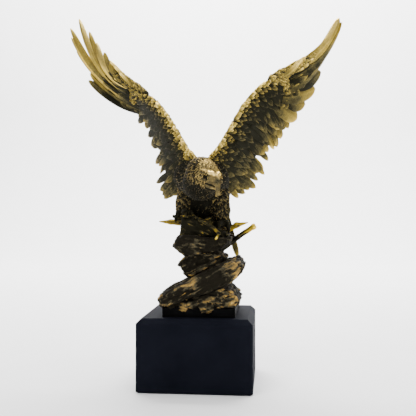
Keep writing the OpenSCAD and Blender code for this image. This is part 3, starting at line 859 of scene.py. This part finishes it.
def build_tail():
    """Twelve tail feathers in a fan, with coverts over their roots on both faces."""
    clay = Clay()
    whole = box("tail_fan")
    count = 12
    root = spot(whole, [0.44, 0.3, 0.86])
    lean = np.linspace(-1, 1, count)
    low = spot(whole, [0.44, 0.86, 0.0])
    longest = smooth(lean, 0.8, 0.95)
    tip_x = whole[0][0] + (whole[1][0] - whole[0][0]) * (0.46 + 0.4 * lean + 0.1 * longest)
    tip_z = low[2] + (whole[1][2] - whole[0][2]) * (0.22 - 0.2 * longest)
    tip_y = low[1] - 7 * lean**2
    tips = np.stack([tip_x, tip_y, tip_z], axis=-1)
    roots = root + np.stack([lean * 5 + 6 * longest, -1.5 * lean**2, 2 * (1 - lean**2)], axis=-1)

    def fan(j, u):
        a, b = curve(roots, j), curve(tips, j)
        sag = np.sin(math.pi * np.clip(u, 0, 1))[..., None]
        return a + (b - a) * u[..., None] + np.array([0, 4.0, 0]) * sag

    def fan_normal(j, u):
        return normals_of(fan, np.clip(j, 0.02, 0.98), np.clip(u, 0.02, 0.98))

    turn = np.sign(-fan_normal(np.array([0.5]), np.array([0.5]))[0, 1])
    rows = 60
    j = np.repeat(np.linspace(0, 1, count)[:, None], rows, axis=1)
    u = np.repeat(np.linspace(0, 1, rows)[None], count, axis=0)
    face = fan_normal(j, u) * turn
    over = np.abs(lean)[:, None, None] * 1.6
    spine = fan(j, u) + face * over
    half = 4.3 * vane(u, blunt=3, start=0.72, neck=0.5) * (1 - 0.3 * longest[:, None])
    blades(clay, spine, face, half, np.full(half.shape, 0.7), 0.42, rng.uniform(0.2, 0.9, count), fine=True,
           rib=0.35, barb=0.1, pitch=2.4, roll=0.16)
    pillow(clay, fan, (0.05, 0.95), (-0.12, 0.35), 2.6, gild_and_painted_light=0.15)
    for under in (1, -1):
        for n, b, w in ((11, (0.2, 0.52), 3.4), (11, (0.08, 0.38), 3.2), (10, (-0.06, 0.24), 3.0),
                        (9, (-0.2, 0.1), 2.8)):
            j0 = stations(n, 0.03, 0.97, 0.2)
            row_on(clay, fan, turn * under, j0, j0, b[0], b[1], w, thick=0.8, lift=2.4 - 3 * b[0], rise=0.9,
                   gild_and_painted_light=0.24, rows=12, fine=True, barb=0.08, vane=dict(blunt=2.2, start=0.5, neck=0.6))
    return clay


# ---- log and rocks


def sloping(lean):
    """Axes for grooves that rise by this many degrees towards +X: along, across front to back, and up."""
    c, s = math.cos(math.radians(lean)), math.sin(math.radians(lean))
    return np.array([[c, 0, s], [0, 1, 0], [-s, 0, c]]).T


def craggy(lean, depth, grain, seed, gild_and_painted_light, patches=()):
    """Relief of broken, layered stone: flat chips and grooves along the slope.

    patches are (point, reach, amount): places rubbed golden."""
    axes = sloping(lean)
    grain = np.array(grain, float)

    def relief(p):
        q = p @ axes + 1.2 * noise(p, 8, seed + 5)[..., None]
        big = chips(q, grain, seed)
        small = chips(q, grain * 0.42, seed + 20)
        groove = fractal(q, grain * [0.9, 0.7, 0.28], seed + 40, 2)
        height = depth * (0.75 * big + 0.4 * small + 0.3 * groove)
        wear_and_painted_light = 0.3 + 0.2 * big + 0.25 * small + 0.42 * groove
        rich = gild_and_painted_light + 0.1 * noise(p, 12, seed + 7)
        for point, reach, amount in patches:
            rich = rich + amount * np.exp(-np.sum((p - point) ** 2, axis=-1) / reach**2)
        return height, np.clip(wear_and_painted_light, 0, 1), np.clip(rich, 0, 1)

    return relief


def build_rock(node, lean, depth, grain, seed, gild_and_painted_light, patches=(), lumps=()):
    """A convex stone of the frame with a craggy skin. lumps are (share of its box, radii) of added crust."""
    clay = Clay()
    planes = planes_of(node)
    whole = box(node)
    golden = [(spot(whole, share), reach, amount) for share, reach, amount in patches]

    def shape(p):
        field = convex(p, planes, 1.0) - 0.5
        for share, radii in lumps:
            field = join(field, ball(p, spot(whole, share), radii), 1.0)
        return field

    reach = 8.0 if lumps else 3.0
    sculpt(clay, shape, whole, 0.7, craggy(lean, depth, grain, seed, gild_and_painted_light, golden), reach=reach)
    return clay


STONES = {
    "crown": dict(lean=-12, depth=1.7, grain=[11, 8, 6], seed=3, gild_and_painted_light=0.17),
    "middle": dict(lean=24, depth=1.7, grain=[11, 8, 5], seed=13, gild_and_painted_light=0.3),
    "ledge": dict(
        lean=27, depth=1.3, grain=[14, 6, 4], seed=29, gild_and_painted_light=0.1,
        patches=[([0.95, 0.0, 0.85], 12, 0.55), ([0.4, 0.0, 0.45], 9, 0.45), ([0.1, 0.0, 0.15], 14, 0.3)],
    ),
    "foot": dict(
        lean=10, depth=1.3, grain=[8, 6, 4.5], seed=41, gild_and_painted_light=0.12,
        patches=[([0.9, 0.0, 0.55], 11, 0.5), ([0.56, 0.0, 0.0], 9, 0.45), ([0.25, 0.0, 0.0], 7, 0.4)],
        lumps=[([0.57, 0.01, 0.04], [7.5, 5, 5]), ([0.24, 0.03, -0.02], [5, 4, 3.4]),
               ([0.86, 0.02, 0.36], [8, 6, 6]), ([0.4, 0.02, 0.1], [5, 4, 3.5]),
               ([0.08, 0.03, 0.08], [5, 4, 3.5])],
    ),
}


def build_log():
    """Driftwood log with a pointed stub, a leaf-shaped stub and a thin root along its front."""
    clay = Clay()
    whole = box("perch_log")
    outline = spot(whole, [[0.27, 0.5, 0.0], [0.79, 0.5, 0.0], [0.8, 0.5, 0.15], [0.66, 0.5, 0.5],
                           [0.35, 0.5, 1.0], [0.27, 0.5, 0.9], [0.26, 0.5, 0.5]])
    edges = np.roll(outline, -1, axis=0) - outline
    normals = unit(np.stack([edges[:, 2], 0 * edges[:, 0], -edges[:, 0]], axis=-1))
    offsets = np.sum(normals * outline, axis=1)
    front, back = whole[0][1], whole[1][1]
    normals = np.vstack([normals, [[0, -1, 0], [0, 1, 0]]])
    offsets = np.append(offsets, [-front + 4, back + 4])

    def shape(p):
        return convex(p, (normals, offsets), 3.0)

    room = whole[0] - [0, 6, 0], whole[1] + [0, 5, 0]
    sculpt(clay, shape, room, 0.7, craggy(-24, 1.1, [10, 6, 4], 61, 0.17))
    left_stub = spot(whole, [[0.29, 0.5, 0.68], [0.13, 0.48, 0.7], [0.0, 0.46, 0.72]])
    knob = spot(whole, [[0.27, 0.46, 0.76], [0.17, 0.42, 0.96]])
    right_stub = spot(whole, [[0.76, 0.6, 0.3], [0.87, 0.57, 0.55], [1.0, 0.55, 0.68]])
    root = spot(whole, [[0.41, -0.02, 1.0], [0.49, -0.22, 0.81], [0.58, -0.24, 0.6], [0.65, -0.26, 0.4],
                        [0.7, -0.33, 0.2], [0.67, -0.41, -0.02]])

    def stubs(p):
        left = chain(p, left_stub, [3.4, 2.4, 0.5], 1.5)
        return np.minimum(left, chain(p, right_stub, [2.2, 2.6, 0.4], 1.5))

    def twigs(p):
        field = np.minimum(stubs(p), chain(p, knob, [2.4, 1.6]))
        return np.minimum(field, chain(p, root, [1.0, 1.3, 1.4, 1.3, 1.3, 1.1], 1.0))

    def twig_relief(p):
        along = fractal(p, [5, 1.2, 1.2], 31, 2)
        tip = smooth(np.linalg.norm(p - root[-1], axis=-1), 4, 1.5)
        line = smooth(1.6 - chain(p, root, [0.1] * len(root), 1.0), -1.5, 0)
        ends = smooth(-stubs(p), -1.5, 0) * smooth(np.abs(p[..., 0] - 4), 17, 27)
        rich = 0.22 + 0.28 * ends + 0.55 * tip + 0.08 * line
        return 0.35 * along, np.clip(0.4 + 0.5 * along + 0.3 * rich, 0, 1), np.clip(rich, 0, 1)

    sculpt(clay, twigs, (whole[0] - [0, 16, 4], whole[1]), 0.5, twig_relief, reach=1.0)
    return clay


def build_twig():
    """Blunt broken stick at the right of the rocks."""
    clay = Clay()
    whole = box("side_twig")
    ends = spot(whole, [[0.06, 0.86, 0.09], [0.5, 0.5, 0.52], [0.94, 0.12, 0.93]])

    def shape(p):
        field = chain(p, ends, [2.9, 2.4, 2.3], 1.5)
        field = join(field, ball(p, ends[2] - [0, 0, 0.4], 2.7), 1)
        return cut(field, ball(p, ends[2] + unit(ends[2] - ends[1]) * 3.0, 2.1), 0.4)

    def relief(p):
        way = unit(ends[2] - ends[0])
        side = p - ends[0] - ((p - ends[0]) @ way)[..., None] * way
        grain = fractal(side * 1.0 + way * ((p @ way) / 5)[..., None], 1.1, 17, 2)
        # painted highlight: the stick grows more worn and golden towards its far, higher end
        lit = smooth((p - ends[0]) @ way, 20, 40)
        return 0.4 * grain, np.clip(0.5 + 0.5 * grain + 0.25 * lit, 0, 1), np.clip(0.18 + 0.5 * lit, 0, 1)

    sculpt(clay, shape, whole, 0.5, relief, reach=1.0)
    return clay


# ---- materials


class Nodes:
    """Short way to wire a node material."""

    def __init__(self, name):
        self.material = bpy.data.materials.new(name)
        self.material.use_nodes = True
        self.tree = self.material.node_tree
        self.shader = self.tree.nodes["Principled BSDF"]

    def add(self, kind, **settings):
        node = self.tree.nodes.new(kind)
        for key, value in settings.items():
            setattr(node, key, value)
        return node

    def link(self, out, into):
        self.tree.links.new(out, into)

    def attribute(self, name):
        return self.add("ShaderNodeAttribute", attribute_name=name).outputs["Fac"]

    def noise(self, size_mm, detail=3.0, rough=0.55):
        coords = self.add("ShaderNodeTexCoord").outputs["Object"]
        node = self.add("ShaderNodeTexNoise")
        node.inputs["Scale"].default_value = 1 / (size_mm * MM)
        node.inputs["Detail"].default_value = detail
        node.inputs["Roughness"].default_value = rough
        self.link(coords, node.inputs["Vector"])
        return node.outputs["Fac"]

    def math(self, operation, a, b=None, clamp=False):
        node = self.add("ShaderNodeMath", operation=operation, use_clamp=clamp)
        for k, value in enumerate((a, b)):
            if value is None:
                continue
            if isinstance(value, (int, float)):
                node.inputs[k].default_value = value
            else:
                self.link(value, node.inputs[k])
        return node.outputs[0]

    def ramp(self, factor, stops):
        node = self.add("ShaderNodeValToRGB")
        elements = node.color_ramp.elements
        while len(elements) < len(stops):
            elements.new(0.5)
        for element, (place, colour) in zip(elements, stops):
            element.position = place
            element.color = (*colour, 1)
        self.link(factor, node.inputs["Fac"])
        return node.outputs["Color"]

    def span(self, factor, low, high):
        node = self.add("ShaderNodeMapRange")
        self.link(factor, node.inputs["Value"])
        node.inputs["To Min"].default_value = low
        node.inputs["To Max"].default_value = high
        return node.outputs["Result"]

    def bump(self, height, distance_mm, strength=1.0):
        node = self.add("ShaderNodeBump")
        node.inputs["Distance"].default_value = distance_mm * MM
        node.inputs["Strength"].default_value = strength
        self.link(height, node.inputs["Height"])
        self.link(node.outputs["Normal"], self.shader.inputs["Normal"])


def bronze(name, dark, middle, gold, pale):
    """Patinated bronze: dark in the recesses, rubbed through to gold where wear and gild are high. In places
    those values also carry painted shade and painted highlights.
    """
    n = Nodes(name)
    wear_and_painted_light, gild_and_painted_light, tone = (n.attribute(key) for key in ("wear_and_painted_light", "gild_and_painted_light", "tone"))
    blotch = n.noise(7, 4, 0.6)
    fine = n.noise(1.1, 4, 0.65)
    rub_and_painted_light = n.math("ADD", wear_and_painted_light, gild_and_painted_light)
    for value, weight in ((fine, 0.45), (blotch, 0.5), (tone, 0.2)):
        rub_and_painted_light = n.math("ADD", rub_and_painted_light, n.math("MULTIPLY", n.math("SUBTRACT", value, 0.5), weight))
    mask = n.math("SUBTRACT", rub_and_painted_light, 0.62, clamp=True)
    colour = n.ramp(mask, [(0.0, dark), (0.22, middle), (0.6, gold), (1.0, pale)])
    n.link(colour, n.shader.inputs["Base Color"])
    n.link(n.ramp(mask, [(0.15, (0.0,) * 3), (0.6, (1.0,) * 3)]), n.shader.inputs["Metallic"])
    rough = n.math("ADD", n.span(mask, 0.78, 0.3), n.math("MULTIPLY", n.math("SUBTRACT", fine, 0.5), 0.2))
    n.link(rough, n.shader.inputs["Roughness"])
    n.shader.inputs["Specular IOR Level"].default_value = 0.1
    n.shader.inputs["Specular Tint"].default_value = (*gold, 1)
    n.bump(n.math("ADD", fine, n.math("MULTIPLY", blotch, 0.5)), 0.22)
    return n.material


def lacquer(name, colour, rough):
    """Black satin coat over fine-grained wood, with faint unevenness."""
    n = Nodes(name)
    grain = n.noise(1.2, 4, 0.5)
    cloud = n.noise(28, 2, 0.5)
    lighter = tuple(c * 1.7 + 0.002 for c in colour)
    n.link(n.ramp(cloud, [(0.0, colour), (1.0, lighter)]), n.shader.inputs["Base Color"])
    uneven = n.math("MULTIPLY", n.math("ADD", grain, cloud), 0.5)
    n.link(n.span(uneven, rough - 0.06, rough + 0.08), n.shader.inputs["Roughness"])
    n.shader.inputs["Specular IOR Level"].default_value = 0.05
    n.shader.inputs["IOR"].default_value = 1.25
    n.bump(grain, 0.03)
    return n.material


def steel(name):
    n = Nodes(name)
    n.shader.inputs["Metallic"].default_value = 1.0
    grain = n.noise(2, 3)
    colour = n.ramp(grain, [(0.3, (0.42, 0.42, 0.43)), (0.7, (0.62, 0.62, 0.63))])
    n.link(colour, n.shader.inputs["Base Color"])
    n.link(n.span(grain, 0.28, 0.42), n.shader.inputs["Roughness"])
    return n.material


def felt(name):
    n = Nodes(name)
    fibre = n.noise(0.8, 5, 0.7)
    colour = n.ramp(fibre, [(0.3, (0.008, 0.008, 0.009)), (0.75, (0.035, 0.035, 0.038))])
    n.link(colour, n.shader.inputs["Base Color"])
    n.link(n.span(fibre, 0.85, 1.0), n.shader.inputs["Roughness"])
    n.bump(fibre, 0.4)
    return n.material


# The four colours of each bronze run from its recesses to its brightest edges
FEATHER = bronze("feather_bronze", (0.014, 0.014, 0.009), (0.088, 0.074, 0.03), (0.42, 0.30, 0.06),
                 (1.0, 0.74, 0.2))
BODY = bronze("bird_bronze", (0.008, 0.008, 0.006), (0.08, 0.068, 0.036), (0.38, 0.27, 0.09),
              (1.0, 0.72, 0.22))
ROCK = bronze("rock_bronze", (0.012, 0.011, 0.008), (0.075, 0.066, 0.04), (0.46, 0.28, 0.07),
              (0.95, 0.66, 0.22))
WOOD = bronze("log_bronze", (0.010, 0.010, 0.007), (0.065, 0.055, 0.026), (0.50, 0.33, 0.02),
              (1.0, 0.70, 0.08))
LACQUER = lacquer("black_lacquer", (0.0038, 0.0044, 0.0076), 0.66)
RISER_BLACK = lacquer("riser_black", (0.002, 0.002, 0.0022), 0.5)
STEEL = steel("fixing_steel")
FELT = felt("felt")

# ---- pieces on the frame


def place(name, clay, material, slot, *nodes):
    piece = clay.mesh(name, material)
    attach(piece, "root")
    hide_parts(*nodes)


# Painted shading: the right wing's inner rows and hand coverts are made darker as painted shade, and the left
# hand's coverts lighter as painted highlight
ARM_PAINTED_SHADING = {"left": 0.0, "right": 0.1}
HAND_PAINTED_SHADING = {"left": -0.08, "right": 0.08}

for side, wing in WINGS.items():
    place(side + "_arm_feathers", build_arm(wing, ARM_PAINTED_SHADING[side]), FEATHER, "feather_bronze",
          side + "_wing_arm")
    place(side + "_hand_feathers", build_hand(wing, HAND_PAINTED_SHADING[side]), FEATHER, "feather_bronze",
          side + "_wing_hand")
    place(side + "_tuft", build_tuft(wing), FEATHER, "feather_bronze", side + "_alula")
    place(side + "_thigh", build_leg(side), BODY, "bird_bronze", side + "_leg")
place("torso_feathers", build_torso(), BODY, "bird_bronze", "torso")
place("head_and_neck", build_head(), BODY, "bird_bronze", "head")
place("tail_feathers", build_tail(), FEATHER, "feather_bronze", "tail_fan")
place("left_talons", build_foot("left", -14, 1.0), WOOD, "talon_bronze", "left_foot")
place("right_talons", build_foot("right", 6, 0.0), WOOD, "talon_bronze", "right_foot")
place("driftwood", build_log(), WOOD, "log_bronze", "perch_log")
place("broken_stick", build_twig(), WOOD, "log_bronze", "side_twig")
for stone, looks in STONES.items():
    place(stone + "_stone", build_rock("rock_" + stone, **looks), ROCK, "rock_bronze", "rock_" + stone)

for node, material in {
    "plinth": LACQUER, "riser_block": RISER_BLACK, "base_felt": FELT,
    "tie_rod": STEEL, "tie_rod_nut": STEEL, "tie_rod_washer": STEEL,
    "riser_dowels": STEEL, "wing_dowels": STEEL, "neck_dowel": STEEL, "tail_dowel": STEEL,
}.items():
    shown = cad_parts[node]
    shown.data.materials.clear()
    shown.data.materials.append(material)

for node, width_mm in (("plinth", 0.5), ("riser_block", 0.3)):
    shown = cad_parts[node]
    weld = shown.modifiers.new("weld", "WELD")
    weld.merge_threshold = 1e-6
    bevel = shown.modifiers.new("eased_edges", "BEVEL")
    bevel.width = width_mm * MM
    bevel.segments = 3
    bevel.limit_method = "ANGLE"
    bevel.angle_limit = math.radians(25)

# ---- floor, light and camera

plinth_low, plinth_high = (c * MM for c in box("plinth"))
unit_width = plinth_high[0] - plinth_low[0]


def build_floor():
    """Pale sweep: a floor that curves up into a wall behind."""
    reach, back, radius, top = 26 * unit_width, 14 * unit_width, 6 * unit_width, 40 * unit_width
    bend = np.linspace(0, math.pi / 2, 24)
    profile = [(-18 * unit_width, 0.0)]
    profile += [(back + radius * math.sin(a), radius * (1 - math.cos(a))) for a in bend]
    profile += [(back + radius, top)]
    points = [(x, y, z) for y, z in profile for x in (-reach, reach)]
    faces = [(2 * k, 2 * k + 1, 2 * k + 3, 2 * k + 2) for k in range(len(profile) - 1)]
    mesh = bpy.data.meshes.new("floor")
    mesh.from_pydata(points, [], faces)
    mesh.shade_smooth()
    n = Nodes("studio_white")
    colour = n.ramp(n.noise(60, 2), [(0.0, (0.86, 0.86, 0.86)), (1.0, (0.9, 0.9, 0.9))])
    n.link(colour, n.shader.inputs["Base Color"])
    n.shader.inputs["Roughness"].default_value = 0.9
    mesh.materials.append(n.material)
    floor = bpy.data.objects.new("floor", mesh)
    bpy.context.collection.objects.link(floor)


def softbox(name, place_at, aim, size, watts):
    light = bpy.data.lights.new(name, "AREA")
    light.shape = "RECTANGLE"
    light.size, light.size_y = size
    light.energy = watts
    made = bpy.data.objects.new(name, light)
    made.location = place_at
    made.rotation_euler = (Vector(aim) - Vector(place_at)).to_track_quat("-Z", "Y").to_euler()
    bpy.context.collection.objects.link(made)


build_floor()
middle = Vector((0, 0, 2.2 * unit_width))
softbox("key", (-0.35, -0.6, 1.15), middle, (0.4, 0.4), 9)
softbox("fill", (0.95, -0.6, 0.7), middle, (0.5, 0.6), 4)
softbox("top", (0.1, 0.1, 1.2), middle, (0.7, 0.6), 12)
softbox("wall", (0.0, 0.9, 1.9), (0, 2.2, 0.6), (2.5, 1.0), 230)

world = bpy.data.worlds.new("studio")
world.use_nodes = True
world.node_tree.nodes["Background"].inputs["Color"].default_value = (1, 1, 1, 1)
world.node_tree.nodes["Background"].inputs["Strength"].default_value = 0.3
bpy.context.scene.world = world

# The camera stands nearly level with the log, a little to the right, and looks slightly left and up
YAW = math.radians(5.45)
PITCH = math.radians(0.83)
FOCAL = 1.5458
camera = bpy.data.objects.new("camera", bpy.data.cameras.new("camera"))
camera.location = Vector((0.6376, -5.8895, 1.4927)) * unit_width
aim = Vector((-math.sin(YAW) * math.cos(PITCH), math.cos(YAW) * math.cos(PITCH), math.sin(PITCH)))
camera.rotation_euler = aim.to_track_quat("-Z", "Y").to_euler()
camera.data.sensor_width = 36
camera.data.lens = 36 * FOCAL
camera.data.clip_end = 20
bpy.context.collection.objects.link(camera)
bpy.context.scene.camera = camera
